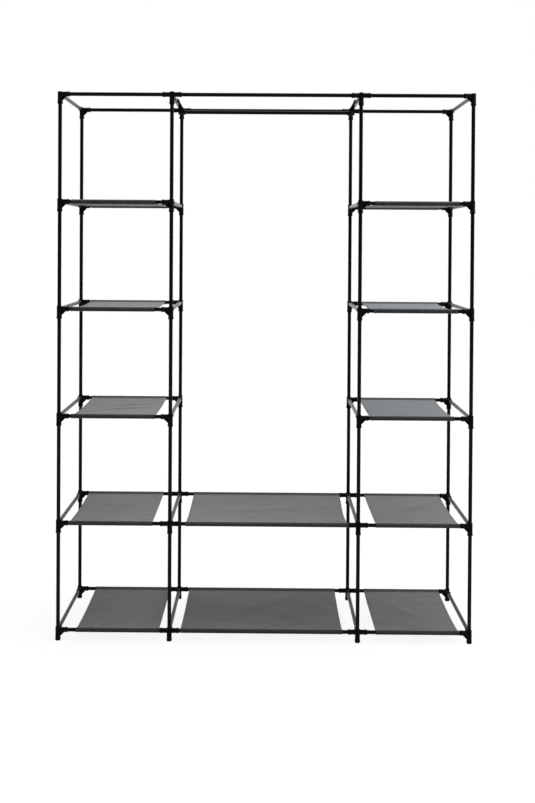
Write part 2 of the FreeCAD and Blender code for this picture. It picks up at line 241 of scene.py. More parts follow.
class Value:
    """A shader socket that takes part in Python arithmetic."""

    def __init__(self, tree, socket):
        self.tree = tree
        self.socket = socket

    def maths(self, operation, *values):
        """The result of a Math node."""
        made = self.tree.nodes.new("ShaderNodeMath")
        made.operation = operation
        for value, target in zip(values, made.inputs):
            join(self.tree, value, target)
        return Value(self.tree, made.outputs[0])

    def __add__(self, other):
        return self.maths("ADD", self, other)

    def __sub__(self, other):
        return self.maths("SUBTRACT", self, other)

    def __rsub__(self, other):
        return self.maths("SUBTRACT", other, self)

    def __mul__(self, other):
        return self.maths("MULTIPLY", self, other)

    def cosine(self):
        """Its cosine, as an angle in radians."""
        return self.maths("COSINE", self)

    def highest(self, other):
        """The larger of the two."""
        return self.maths("MAXIMUM", self, other)

    __radd__ = __add__
    __rmul__ = __mul__


class Finish:
    """A node material under construction."""

    def __init__(self, name):
        self.material = bpy.data.materials.new(name)
        self.material.use_nodes = True
        self.tree = self.material.node_tree
        self.shader = self.tree.nodes["Principled BSDF"]

    def node(self, kind, settings, sockets, output=0):
        """An output of a new node."""
        return Value(self.tree, add_node(self.tree, kind, settings, sockets).outputs[output])

    def noise(self, place, scale, detail=2.0, stretch=(1, 1, 1)):
        """Noise from 0 to 1 of a scale per metre, drawn out along some axes."""
        turned = self.node("ShaderNodeMapping", {}, {"Vector": place, "Scale": stretch})
        return self.node("ShaderNodeTexNoise", {}, {"Vector": turned, "Scale": scale, "Detail": detail})

    def ramp(self, value, stops):
        """The value through a ramp of grey levels."""
        return self.node("ShaderNodeValToRGB", {"stops": stops}, {"Fac": value})

    def mix(self, share, first, second):
        """A colour between two colours."""
        made = add_node(self.tree, "ShaderNodeMix", {"data_type": "RGBA"}, {"Factor": share})
        join(self.tree, first, made.inputs[6])
        join(self.tree, second, made.inputs[7])
        return Value(self.tree, made.outputs[2])

    def bump(self, height, distance, strength=1.0):
        """A normal from a height of 0 to 1 that stands for the given distance."""
        sockets = {"Height": height, "Distance": distance, "Strength": strength}
        return self.node("ShaderNodeBump", {}, sockets)

    def shade(self, **sockets):
        """Sets the shader and gives the material."""
        for name, value in sockets.items():
            join(self.tree, value, self.shader.inputs[name.replace("_", " ")])
        return self.material


def grey(colour, factor):
    """A colour times a factor, with full alpha."""
    return (*[part * factor for part in colour], 1)


def tube_finish(colour):
    """Satin black coating with a faint orange peel, thin and thick patches and a little dust."""
    finish = Finish("satin_black_coat")
    place = finish.node("ShaderNodeTexCoord", {}, {}, "Object")
    patches = finish.ramp(finish.noise(place, 22, 4), ((0.3, 0.0), (0.7, 1.0)))
    peel = finish.noise(place, 750, 2)
    specks = finish.ramp(finish.noise(place, 420, 3), ((0.66, 0.0), (0.74, 1.0)))
    tone = finish.mix(patches, grey(colour, 0.85), grey(colour, 1.25))
    tone = finish.mix(specks * 0.2, tone, grey(colour, 2.0))
    return finish.shade(
        Base_Color=tone,
        Roughness=0.2 + patches * 0.06 + specks * 0.05 + (peel - 0.5) * 0.04,
        Normal=finish.bump(peel, 0.00002, 0.1),
        Specular_IOR_Level=0.08,
    )


def plastic_finish(name, colour, roughness):
    """Moulded black plastic with a fine spark-eroded grain and cloudy flow marks."""
    finish = Finish(name)
    place = finish.node("ShaderNodeTexCoord", {}, {}, "Object")
    flow = finish.ramp(finish.noise(place, 65, 3), ((0.32, 0.0), (0.68, 1.0)))
    grain = finish.noise(place, 2600, 2)
    rubbed = finish.ramp(finish.noise(place, 260, 4), ((0.58, 0.0), (0.72, 1.0)))
    tone = finish.mix(flow, grey(colour, 0.8), grey(colour, 1.3))
    tone = finish.mix(rubbed * 0.4, tone, grey(colour, 2.0))
    return finish.shade(
        Base_Color=tone,
        Roughness=roughness + flow * 0.05 - rubbed * 0.08 + (grain - 0.5) * 0.1,
        Normal=finish.bump(grain, 0.00003, 0.4),
        Specular_IOR_Level=0.07,
    )


def cloth_finish(colour):
    """Charcoal non-woven cloth: pressed points in offset rows, a cloudy web of fibres and a soft sheen."""
    finish = Finish("charcoal_nonwoven")
    cut = finish.node("ShaderNodeUVMap", {"uv_map": "cut"}, {})
    split = add_node(finish.tree, "ShaderNodeSeparateXYZ", {}, {"Vector": cut})
    across = Value(finish.tree, split.outputs[0])
    along = Value(finish.tree, split.outputs[1])
    turns = 2 * math.pi / PRESS_PITCH
    points = (across * turns).cosine() * (along * turns).cosine()
    pressed = finish.ramp(points * 0.5 + 0.5, ((0.68, 0.0), (0.86, 1.0)))
    cloud = finish.ramp(finish.noise(cut, 55, 4), ((0.3, 0.0), (0.72, 1.0)))
    drift = finish.ramp(finish.noise(cut, 9, 2, (1, 0.5, 1)), ((0.3, 0.0), (0.7, 1.0)))
    fibres = finish.noise(cut, 900, 3, (0.25, 1, 1))
    strands = finish.noise(cut, 900, 3, (1, 0.3, 1))
    web = fibres.highest(strands)
    tone = finish.mix(cloud, grey(colour, 0.6), grey(colour, 1.35))
    tone = finish.mix(drift * 0.5, tone, grey(colour, 1.3))
    tone = finish.mix(finish.ramp(web, ((0.5, 0.0), (0.75, 1.0))) * 0.35, tone, grey(colour, 1.7))
    tone = finish.mix(pressed * 0.3, tone, grey(colour, 0.6))
    height = (web * 0.35 + (1 - pressed) * 0.65) * 0.2 + cloud * 0.8
    return finish.shade(
        Base_Color=tone,
        Roughness=0.82 - pressed * 0.16 + (web - 0.5) * 0.1,
        Normal=finish.bump(height, 0.0005, 0.7),
        Sheen_Weight=1.0,
        Sheen_Roughness=0.43,
        Sheen_Tint=(1, 0.995, 0.985, 1),
        Specular_IOR_Level=0.12,
    )


def thread_finish(colour):
    """Dark polyester thread with a fine twist."""
    finish = Finish("sewing_thread")
    place = finish.node("ShaderNodeTexCoord", {}, {}, "Object")
    twist = finish.noise(place, 2400, 1)
    tone = finish.mix(twist, grey(colour, 0.7), grey(colour, 1.5))
    return finish.shade(
        Base_Color=tone,
        Roughness=0.5 + twist * 0.2,
        Normal=finish.bump(twist, 0.00005, 0.6),
        Sheen_Weight=0.2,
    )


def floor_finish(colour):
    """Pale floor that a camera sees as white, except for a part of the shadow near the wardrobe."""
    finish = Finish("pale_floor")
    place = finish.node("ShaderNodeTexCoord", {}, {}, "Object")
    tone = finish.mix(finish.noise(place, 6, 2) * 0.1, grey(colour, 1.0), grey(colour, 0.97))
    white = finish.node("ShaderNodeEmission", {}, {"Color": (1, 1, 1, 1), "Strength": 1.05})
    rays = add_node(finish.tree, "ShaderNodeLightPath", {}, {})
    seen = Value(finish.tree, rays.outputs["Is Camera Ray"])
    seen = seen.highest(Value(finish.tree, rays.outputs["Is Glossy Ray"]))
    seen = seen.highest(Value(finish.tree, rays.outputs["Is Transmission Ray"]))
    tone = finish.mix(seen, tone, (0.96, 0.96, 0.96, 1))
    finish.shade(Base_Color=tone, Roughness=0.9, Specular_IOR_Level=0.0)
    far = finish.node("ShaderNodeVectorMath", {"operation": "LENGTH"}, {0: place}, "Value")
    share = finish.ramp(far * 0.2, ((0.2, 0.86), (0.6, 1.0)))
    both = add_node(finish.tree, "ShaderNodeMixShader", {}, {"Fac": seen * share})
    finish.tree.links.new(finish.shader.outputs[0], both.inputs[1])
    finish.tree.links.new(white.socket, both.inputs[2])
    finish.tree.links.new(both.outputs[0], finish.tree.nodes["Material Output"].inputs["Surface"])
    return finish.material


# Meshes


def add_object(name, mesh):
    """An object at the origin."""
    made = bpy.data.objects.new(name, mesh)
    bpy.context.scene.collection.objects.link(made)
    return made


def settle(obj):
    """Turns an object's modifiers into a plain mesh."""
    mesh = bpy.data.meshes.new_from_object(obj.evaluated_get(bpy.context.evaluated_depsgraph_get()))
    obj.modifiers.clear()
    obj.data = mesh
    return obj


def mesh_from(bm, name, material, sharp=math.radians(38)):
    """A smooth mesh with sharp edges where its faces meet at more than an angle."""
    for face in bm.faces:
        face.smooth = True
    for edge in bm.edges:
        edge.smooth = edge.is_manifold and edge.calc_face_angle(0) < sharp
    mesh = bpy.data.meshes.new(name)
    bm.to_mesh(mesh)
    bm.free()
    mesh.materials.append(material)
    return mesh


def dress(obj, body, slot, *nodes):
    """Puts a piece on its body in place of CAD nodes."""
    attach(obj, body)
    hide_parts(*nodes)
    return obj


def revolve(bm, profile, start, direction, sides):
    """A closed round shell from (radius, distance) pairs along a direction, begun and ended on its axis."""
    turn = Vector((0, 0, 1)).rotation_difference(direction).to_matrix()
    rings = []
    for radius, distance in profile:
        if radius == 0:
            rings.append([bm.verts.new(start + direction * distance)])
            continue
        ring = []
        for step in range(sides):
            angle = 2 * math.pi * step / sides
            out = Vector((math.cos(angle), math.sin(angle), 0)) * radius
            ring.append(bm.verts.new(start + direction * distance + turn @ out))
        rings.append(ring)
    for first, second in zip(rings, rings[1:]):
        for step in range(sides):
            after = (step + 1) % sides
            corners = [first[step % len(first)], first[after % len(first)]]
            corners += [second[after % len(second)], second[step % len(second)]]
            bm.faces.new(list(dict.fromkeys(corners)))


def rounded(radius, distance, edge, turn_from, turn_to, steps=4):
    """Points of a quarter round about (radius, distance), from one angle to another in degrees."""
    points = []
    for step in range(steps + 1):
        angle = math.radians(turn_from + (turn_to - turn_from) * step / steps)
        points.append((radius + edge * math.cos(angle), distance + edge * math.sin(angle)))
    return points


def mouth(look, radius, end):
    """The profile of a lip and the open mouth of a socket, from its outside into its bore."""
    outer = radius + look.lip_height
    edge = look.edge
    start = end - look.lip_length
    points = [(radius, start - edge), (radius + look.lip_height * 0.3, start - edge * 0.4)]
    points += rounded(outer - edge, start + edge, edge, -60, 0, 3)
    points += rounded(outer - edge, end - edge, edge, 0, 90)
    points += [(look.bore + edge * 0.6, end), (look.bore, end - edge * 0.6)]
    return points + [(look.bore, end - SHOWN_BORE), (0, end - SHOWN_BORE)]


def add_sleeve(bm, look, top):
    """The upright sleeve of a connector at the origin, open at the top or with a flat or domed cap."""
    radius = look.sleeve
    edge = look.edge
    if top == "open":
        high = -look.above
        profile = [(0, high + SHOWN_BORE), (look.bore, high + SHOWN_BORE)]
        profile += [(look.bore, high + edge * 0.6), (look.bore + edge * 0.6, high)]
        profile += rounded(radius - edge, high + edge, edge, -90, 0)
    elif top == "flat":
        profile = [(0, -radius)]
        profile += rounded(radius - CAP_EDGE, CAP_EDGE - radius, CAP_EDGE, -90, 0, 6)
    else:
        ball = (radius**2 + look.dome**2) / (2 * look.dome)
        widest = math.asin(radius / ball)
        angles = [widest * step / 8 for step in range(9)]
        middle = ball - look.dome - radius
        profile = [(0, -radius - look.dome)]
        profile += [(ball * math.sin(angle), middle - ball * math.cos(angle)) for angle in angles[1:]]
    profile += mouth(look, radius, look.below)
    revolve(bm, profile, Vector(), Vector((0, 0, -1)), look.sides)


def add_socket(bm, look, start, direction, begin=0.0):
    """A rail socket along a direction, with its closed end at the given distance."""
    profile = [(0, begin), (look.socket, begin)] + mouth(look, look.socket, look.reach)
    revolve(bm, profile, start, direction, look.sides)


def add_prism(bm, outline, width, edge):
    """A plate across the XZ outline, centred on Y, with rounded edges."""
    front = [bm.verts.new((x, -width / 2, z)) for x, z in outline]
    rear = [bm.verts.new((x, width / 2, z)) for x, z in outline]
    faces = [bm.faces.new(front), bm.faces.new(rear[::-1])]
    count = len(outline)
    for step in range(count):
        after = (step + 1) % count
        faces.append(bm.faces.new((front[after], front[step], rear[step], rear[after])))
    bmesh.ops.recalc_face_normals(bm, faces=faces)
    if edge:
        edges = {side for face in faces for side in face.edges if side.calc_face_angle(0) > 0.6}
        bmesh.ops.bevel(bm, geom=list(edges), offset=edge, segments=2, profile=0.5, affect="EDGES")


def add_gusset(bm, look, side):
    """The web under a rail socket, with the rim along its slope."""
    leg = look.gusset
    rim = RIM_HEIGHT * math.sqrt(2)
    add_prism(bm, [(0, 0), (side * leg, 0), (0, -leg)], GUSSET_WEB, 0)
    slope = [(side * leg, 0), (0, -leg), (0, -leg + rim), (side * (leg - rim), 0)]
    add_prism(bm, slope, GUSSET_RIM, RIB_EDGE)


def connector_mesh(look, rail_sides, depth_side, top):
    """One connector at the origin."""
    bm = bmesh.new()
    add_sleeve(bm, look, top)
    for side in rail_sides:
        add_socket(bm, look, Vector(), Vector((side, 0, 0)))
    add_socket(bm, look, Vector(), Vector((0, depth_side, 0)))
    if len(rail_sides) == 1:
        add_gusset(bm, look, rail_sides[0])
    return bm


def rail_sides_at(column, level):
    """The sides to which a post has rails at a level."""
    own = TOWER_SIDE[column]
    if column.endswith("inner") and (level < SHELF_COUNT["middle"] or level == TOP):
        return (own, -own)
    return (own,)


def tube_tree():
    """Geometry nodes that sweep a round tube along each line of a mesh."""
    tree = bpy.data.node_groups.new("tube_sweep", "GeometryNodeTree")
    for name, kind in (("Lines", "Geometry"), ("Radius", "Float"), ("Sides", "Int"), ("Coat", "Material")):
        tree.interface.new_socket(name, in_out="INPUT", socket_type=f"NodeSocket{kind}")
    tree.interface.new_socket("Tubes", in_out="OUTPUT", socket_type="NodeSocketGeometry")
    given = add_node(tree, "NodeGroupInput", {}, {})
    line = add_node(tree, "GeometryNodeMeshToCurve", {}, {"Mesh": given.outputs["Lines"]})
    ring = add_node(
        tree, "GeometryNodeCurvePrimitiveCircle", {},
        {"Resolution": given.outputs["Sides"], "Radius": given.outputs["Radius"]},
    )
    swept = add_node(
        tree, "GeometryNodeCurveToMesh", {},
        {"Curve": line.outputs["Curve"], "Profile Curve": ring.outputs["Curve"], "Fill Caps": True},
    )
    whole = add_node(tree, "GeometryNodeRealizeInstances", {}, {"Geometry": swept.outputs["Mesh"]})
    coated = add_node(
        tree, "GeometryNodeSetMaterial", {},
        {"Geometry": whole.outputs["Geometry"], "Material": given.outputs["Coat"]},
    )
    add_node(tree, "NodeGroupOutput", {}, {"Tubes": coated.outputs["Geometry"]})
    return tree


def stitch_tree():
    """Geometry nodes that lay a row of stitches along each seam line, flat on the cloth."""
    tree = bpy.data.node_groups.new("stitch_rows", "GeometryNodeTree")
    inputs = (("Seams", "Geometry"), ("Pitch", "Float"), ("Length", "Float"), ("Thread", "Float"))
    for name, kind in inputs + (("Finish", "Material"),):
        tree.interface.new_socket(name, in_out="INPUT", socket_type=f"NodeSocket{kind}")
    tree.interface.new_socket("Stitches", in_out="OUTPUT", socket_type="NodeSocketGeometry")
    given = add_node(tree, "NodeGroupInput", {}, {})
    line = add_node(tree, "GeometryNodeMeshToCurve", {}, {"Mesh": given.outputs["Seams"]})
    spaced = add_node(
        tree, "GeometryNodeResampleCurve", {"mode": "LENGTH"},
        {"Curve": line.outputs["Curve"], "Length": given.outputs["Pitch"]},
    )
    ahead = add_node(tree, "GeometryNodeInputTangent", {}, {})
    upward = add_node(tree, "GeometryNodeInputNamedAttribute", {"data_type": "FLOAT_VECTOR"}, {"Name": "up"})
    pointed = add_node(
        tree, "FunctionNodeAlignRotationToVector", {"axis": "X"}, {"Vector": ahead.outputs["Tangent"]}
    )
    laid = add_node(
        tree, "FunctionNodeAlignRotationToVector", {"axis": "Z", "pivot_axis": "X"},
        {"Rotation": pointed.outputs["Rotation"], "Vector": upward.outputs["Attribute"]},
    )
    half = add_node(
        tree, "ShaderNodeMath", {"operation": "MULTIPLY"}, {0: given.outputs["Length"], 1: 0.5}
    )
    size = add_node(
        tree, "ShaderNodeCombineXYZ", {},
        {"X": half.outputs[0], "Y": given.outputs["Thread"], "Z": given.outputs["Thread"]},
    )
    bead = add_node(tree, "GeometryNodeMeshUVSphere", {}, {"Segments": 6, "Rings": 4, "Radius": 1.0})
    placed = add_node(
        tree, "GeometryNodeInstanceOnPoints", {},
        {
            "Points": spaced.outputs["Curve"], "Instance": bead.outputs["Mesh"],
            "Rotation": laid.outputs["Rotation"], "Scale": size.outputs["Vector"],
        },
    )
    whole = add_node(tree, "GeometryNodeRealizeInstances", {}, {"Geometry": placed.outputs["Instances"]})
    smooth = add_node(tree, "GeometryNodeSetShadeSmooth", {}, {"Geometry": whole.outputs["Geometry"]})
    sewn = add_node(
        tree, "GeometryNodeSetMaterial", {},
        {"Geometry": smooth.outputs["Geometry"], "Material": given.outputs["Finish"]},
    )
    add_node(tree, "NodeGroupOutput", {}, {"Stitches": sewn.outputs["Geometry"]})
    return tree


def grow(obj, tree, **values):
    """Runs a node tree on an object with its inputs set by name, and keeps the result as a plain mesh."""
    modifier = obj.modifiers.new(tree.name, "NODES")
    modifier.node_group = tree
    for item in tree.interface.items_tree:
        if item.in_out == "INPUT" and item.name in values:
            modifier[item.identifier] = values[item.name]
    return settle(obj)


def smooth_sides(obj):
    """Smooths a tube's side, with sharp edges at its ends."""
    bm = bmesh.new()
    bm.from_mesh(obj.data)
    obj.data = mesh_from(bm, obj.name, obj.data.materials[0])


# Pieces


def tube_lines(node):
    """The axes of the tubes of a node, as pairs of ends, from the CAD's own boxes."""
    low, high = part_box(node)
    middle = (low + high) / 2
    if node.startswith("upright"):
        pitch = LEVELS[1] - LEVELS[0]
        length = (high.z - low.z) - (TOP - 1) * pitch
        starts = [low.z + pitch * number for number in range(TOP)]
        return [((middle.x, middle.y, z), (middle.x, middle.y, z + length)) for z in starts]
    if node.startswith("depth_rails"):
        levels = LEVELS if node.endswith("outer") else LEVELS[:TOP]
        return [((middle.x, low.y, z), (middle.x, high.y, z)) for z in levels]
    if node.startswith("rod_bearer"):
        return [((middle.x, low.y, LEVELS[TOP]), (middle.x, high.y, LEVELS[TOP]))]
    if node == "hanging_rod":
        return [((low.x, middle.y, middle.z), (high.x, middle.y, middle.z))]
    return [((low.x, y, middle.z), (high.x, y, middle.z)) for y in (-HALF_DEPTH, HALF_DEPTH)]


class WARDROBE_OT_tubes(bpy.types.Operator):
    """Makes the coated steel tubes of the posts, the rails and the hanging rod"""

    bl_idname = "wardrobe.tubes"
    bl_label = "Tubes"

    def execute(self, context):
        look = context.scene.wardrobe.tubes
        coat = tube_finish(look.colour)
        tree = tube_tree()
        starts = ("upright", "depth_rails", "shelf_rails", "top_rails", "rod_bearer", "hanging_rod")
        for node in sorted(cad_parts):
            if not node.startswith(starts):
                continue
            lines = tube_lines(node)
            mesh = bpy.data.meshes.new(node)
            edges = [(2 * number, 2 * number + 1) for number in range(len(lines))]
            mesh.from_pydata([end for line in lines for end in line], edges, [])
            obj = add_object(f"{node}_tube", mesh)
            grow(obj, tree, Radius=look.radius, Sides=look.sides, Coat=coat)
            smooth_sides(obj)
            dress(obj, "rod_set" if node == "hanging_rod" else "frame", "tube_coating", node)
        return {"FINISHED"}


class WARDROBE_OT_connectors(bpy.types.Operator):
    """Makes the moulded connectors, level by level"""

    bl_idname = "wardrobe.connectors"
    bl_label = "Connectors"

    def execute(self, context):
        look = context.scene.wardrobe.connectors
        plastic = plastic_finish("moulded_black_plastic", look.colour, 0.42)
        for kind in ("outer", "inner"):
            for level in range(len(LEVELS)):
                node = f"connectors_{kind}_{'top' if level == TOP else level + 1}"
                top = "open"
                if level == TOP:
                    top = "flat" if kind == "outer" else "domed"
                whole = bmesh.new()
                for (column, row), post in POST.items():
                    if not column.endswith(kind):
                        continue
                    one = connector_mesh(look, rail_sides_at(column, level), DEPTH_SIDE[row], top)
                    one.transform(Matrix.Translation((post.x, post.y, LEVELS[level])))
                    part = bpy.data.meshes.new("part")
                    one.to_mesh(part)
                    one.free()
                    whole.from_mesh(part)
                    bpy.data.meshes.remove(part)
                obj = add_object(f"{node}_moulding", mesh_from(whole, node, plastic))
                dress(obj, "frame", "connector_plastic", node)
        return {"FINISHED"}


class WARDROBE_OT_rod_holders(bpy.types.Operator):
    """Makes the two hook holders of the hanging rod"""

    bl_idname = "wardrobe.rod_holders"
    bl_label = "Rod holders"

    def execute(self, context):
        look = context.scene.wardrobe.connectors
        plastic = bpy.data.materials["moulded_black_plastic"]
        rod = centre("hanging_rod")
        drop = LEVELS[TOP] - rod.z
        inner = HOOK_INNER
        outer = HOOK_OUTER
        for name, side in (("left", 1), ("right", -1)):
            bm = bmesh.new()
            turns = [HOOK_WRAP * step / 20 for step in range(21)]
            outline = [(side * inner * math.cos(turn), inner * math.sin(turn)) for turn in reversed(turns)]
            outline += [(side * inner, -drop), (side * outer, -drop)]
            outline += [(side * outer * math.cos(turn), outer * math.sin(turn)) for turn in turns]
            add_prism(bm, outline, HOOK_WIDTH, RIB_EDGE)
            foot = side * (look.reach - BRACE_INSET)
            web = [(side * outer, 0), (foot, look.socket - drop), (foot, -drop), (side * outer, -drop)]
            add_prism(bm, web, BRACE_WIDTH, RIB_EDGE)
            add_socket(bm, look, Vector((0, 0, -drop)), Vector((side, 0, 0)), look.sleeve - 0.0015)
            bm.transform(Matrix.Translation((POST[f"{name}_inner", "front"].x, rod.y, LEVELS[TOP])))
            node = f"rod_holder_{name}"
            obj = add_object(f"{node}_moulding", mesh_from(bm, node, plastic))
            dress(obj, "rod_set", "connector_plastic", node)
        return {"FINISHED"}


class WARDROBE_OT_feet(bpy.types.Operator):
    """Makes the foot plugs of the posts"""

    bl_idname = "wardrobe.feet"
    bl_label = "Foot plugs"

    def execute(self, context):
        look = context.scene.wardrobe.connectors
        plastic = plastic_finish("foot_plug_plastic", look.colour, 0.5)
        bm = bmesh.new()
        profile = [(0, 0.0004), (0.004, 0.0004), (0.0046, 0)]
        profile += rounded(look.sleeve - PLUG_EDGE, PLUG_EDGE, PLUG_EDGE, -90, 0)
        profile += [(look.sleeve, PLUG_HEAD - 0.0002), (look.sleeve - 0.0002, PLUG_HEAD)]
        profile += [(PLUG_STEM, PLUG_HEAD), (PLUG_STEM, PLUG_HEIGHT), (0, PLUG_HEIGHT)]
        for post in POST.values():
            revolve(bm, profile, Vector((post.x, post.y, 0)), Vector((0, 0, 1)), look.sides)
        obj = add_object("foot_plugs_moulding", mesh_from(bm, "foot_plugs", plastic))
        dress(obj, "frame", "foot_plug", "foot_plugs")
        return {"FINISHED"}


# Where each cloth lies between its sockets at its front and rear rail, bottom shelf first, as shares of the
# bare rail beside it: -1 is against the left sockets and 1 against the right ones
CLOTH_PLACES = {
    "left": ((0.85, 0.85), (-0.78, -0.86), (-0.33, -0.18), (-0.6, -0.7), (-0.5, -0.5)),
    "middle": ((-0.65, -0.5), (0.85, 0.9)),
    "right": ((0.85, 0.85), (0.76, 0.8), (-0.6, -0.45), (0.0, 0.0), (0.1, 0.1)),
}
BARE_RAIL = {"left": 0.029, "middle": 0.021, "right": 0.029}

# Right edges that are drawn in more than the others
SLACK_EDGES = {("middle", 2): 0.0046, ("right", 1): 0.0018}

# Creases that show on a cloth: place across and along as shares from -1 to 1, direction in degrees from the
# rails, half length, half width and height
CREASES = {
    ("left", 1): (
        (-0.12, 0.0, 86, 0.19, 0.018, 0.0011), (0.3, 0.1, 88, 0.18, 0.016, 0.0013),
        (0.62, 0.0, 91, 0.19, 0.02, 0.0009),
    ),
    ("left", 2): ((0.76, -0.8, 20, 0.035, 0.009, -0.0042), (0.0, 0.1, 84, 0.17, 0.022, 0.0008)),
    ("left", 3): ((0.05, -0.1, 24, 0.13, 0.014, 0.0028), (0.2, 0.25, 20, 0.1, 0.012, -0.002)),
    ("middle", 1): ((-0.1, 0.2, 40, 0.22, 0.04, 0.0009), (0.35, -0.2, 135, 0.2, 0.036, 0.0008)),
    ("middle", 2): ((0.85, -0.7, 150, 0.06, 0.01, 0.0024), (-0.2, 0.0, 12, 0.2, 0.03, 0.0012)),
    ("right", 1): ((-0.2, 0.1, 120, 0.14, 0.02, 0.0014),),
    ("right", 2): ((0.1, 0.2, 60, 0.14, 0.022, 0.0012),),
}


def between(first, second, share):
    """A point on the line between two points."""
    return tuple(a + (b - a) * share for a, b in zip(first, second))


def curved(points, share):
    """A point on the bend that three points guide."""
    return between(between(points[0], points[1], share), between(points[1], points[2], share), share)


class Cloth:
    """The shape of one shelf cloth on its rails, as the middle surface of its layer."""

    def __init__(self, look, bay, number):
        self.look = look
        self.key = (bay, number)
        posts = [POST[column, "front"].x for column in BAY_POSTS[bay]]
        sockets = bpy.context.scene.wardrobe.connectors
        slack = BARE_RAIL[bay]
        half = (posts[1] - posts[0]) / 2 - sockets.reach - slack / 2
        middle = (posts[0] + posts[1]) / 2
        places = [middle + place * slack / 2 for place in CLOTH_PLACES[bay][number - 1]]
        self.left = [place - half for place in places]
        self.right = [place + half for place in places]
        self.height = LEVELS[number - 1]
        self.radius = bpy.context.scene.wardrobe.tubes.radius + look.clearance + look.thickness / 2
        self.half = HALF_DEPTH - look.seam
        self.path = self.section()

    def sheet_height(self, along):
        """Height of the smooth sheet over the rails' axes at a distance from the middle of the depth."""
        arc = (self.half**2 + self.look.sag**2) / (2 * self.look.sag)
        return arc - self.look.sag - math.sqrt(arc**2 - along**2) + self.look.thickness / 2

    def section(self):
        """Points (along, height) from the end of the front flap round both sleeves to the rear flap's end."""
        look = self.look
        turn = math.acos(self.radius / look.seam)
        flap = []
        for step in range(4):
            along = -self.half + look.allowance * (1 - step / 3)
            flap.append((along, self.sheet_height(along) - look.thickness * 1.06))
        around = []
        for step in range(SLEEVE_STEPS + 1):
            angle = -turn + (2 * turn - 2 * math.pi) * step / SLEEVE_STEPS
            around.append((-HALF_DEPTH + self.radius * math.cos(angle), self.radius * math.sin(angle)))
        foot = (-self.half, self.sheet_height(-self.half))
        start = -self.half + SEAM_BEND
        bend = [between(around[-1], foot, 0.7), foot, (start, self.sheet_height(start))]
        sleeve = flap + [between(flap[-1], around[0], step / 4) for step in range(1, 4)] + around
        sleeve += [between(around[-1], foot, step / 4) for step in range(1, 3)]
        sleeve += [curved(bend, step / 5) for step in range(6)]
        count = round(-2 * start / look.spacing)
        sheet = [start * (1 - 2 * step / count) for step in range(1, count)]
        whole = sleeve + [(along, self.sheet_height(along)) for along in sheet]
        return whole + [(-along, height) for along, height in reversed(sleeve)]

    def sides_at(self, along):
        """Left and right edge at a distance from the middle, drawn in most at a third of the depth."""
        share = min(max(along / HALF_DEPTH * 0.5 + 0.5, 0), 1)
        inward = 6.75 * share * (1 - share) ** 2
        left = self.left[0] + (self.left[1] - self.left[0]) * share + inward * self.look.draw_in
        right = self.right[0] + (self.right[1] - self.right[0]) * share
        return left, right - inward * SLACK_EDGES.get(self.key, self.look.draw_in)

    def crease(self, across, along):
        """Height of the creases and the soft unevenness of the sheet."""
        left, right = self.sides_at(along)
        half = (right - left) / 2
        x = across - (left + right) / 2
        free = self.half - self.look.allowance - abs(along)
        held = min(max(free / HELD_STRIP, 0), 1)
        held = held * held * (3 - 2 * held)
        seed = self.height * 7 + self.left[0] * 3
        rise = sum(tall * noise.noise((x * wide, along * deep, seed)) for tall, wide, deep in SOFT_WAVES)
        for place_x, place_y, turn, length, width, height in CREASES.get(self.key, ()):
            angle = math.radians(turn)
            dx = x - place_x * half
            dy = along - place_y * HALF_DEPTH
            ahead = dx * math.cos(angle) + dy * math.sin(angle)
            aside = dy * math.cos(angle) - dx * math.sin(angle)
            fade = max(0, 1 - (ahead / length) ** 2)
            rise += height * fade * fade * math.exp(-((aside / width) ** 2))
        return rise * held

    def point(self, share, along, height):
        """A point of the surface from its share of the width."""
        left, right = self.sides_at(along)
        across = left + (right - left) * share
        return Vector((across, along, self.height + height + self.crease(across, along)))

    def sheet_point(self, share, along):
        """A point of the sheet between the sleeves."""
        return self.point(share, along, self.sheet_height(along))

    def sheet_normal(self, share, along):
        """The upward normal of the sheet."""
        across = self.sheet_point(share + 0.002, along) - self.sheet_point(share - 0.002, along)
        ahead = self.sheet_point(share, along + 0.001) - self.sheet_point(share, along - 0.001)
        return across.cross(ahead).normalized()

    def shares(self):
        """Places across the width as shares, with the folded hem along each edge."""
        width = self.right[0] - self.left[0]
        hem = self.look.hem / width
        count = round((width - 2 * self.look.hem) / self.look.spacing)
        inside = [hem * 1.12 + (1 - 2.24 * hem) * step / count for step in range(count + 1)]
        edge = [0, hem * 0.08, hem * 0.5, hem * 0.94]
        return edge + inside + [1 - share for share in reversed(edge)]

    def mesh(self):
        """The middle surface with its cut pattern as UV, and the vertices of its hems."""
        shares = self.shares()
        lengths = [0]
        for first, second in zip(self.path, self.path[1:]):
            lengths.append(lengths[-1] + math.dist(first, second))
        width = self.right[0] - self.left[0]
        verts = [self.point(share, *place) for place in self.path for share in shares]
        cut = [(share * width, length) for length in lengths for share in shares]
        count = len(shares)
        faces = []
        for row in range(len(self.path) - 1):
            for column in range(count - 1):
                start = row * count + column
                faces.append((start, start + 1, start + count + 1, start + count))
        mesh = bpy.data.meshes.new("cloth")
        mesh.from_pydata(verts, [], faces)
        layer = mesh.uv_layers.new(name="cut")
        for loop in mesh.loops:
            layer.data[loop.index].uv = cut[loop.vertex_index]
        folded = [*range(4), *range(count - 4, count)]
        hems = [row * count + column for row in range(len(self.path)) for column in folded]
        self.flat = (width + 2 * self.look.hem, lengths[-1])
        return mesh, hems

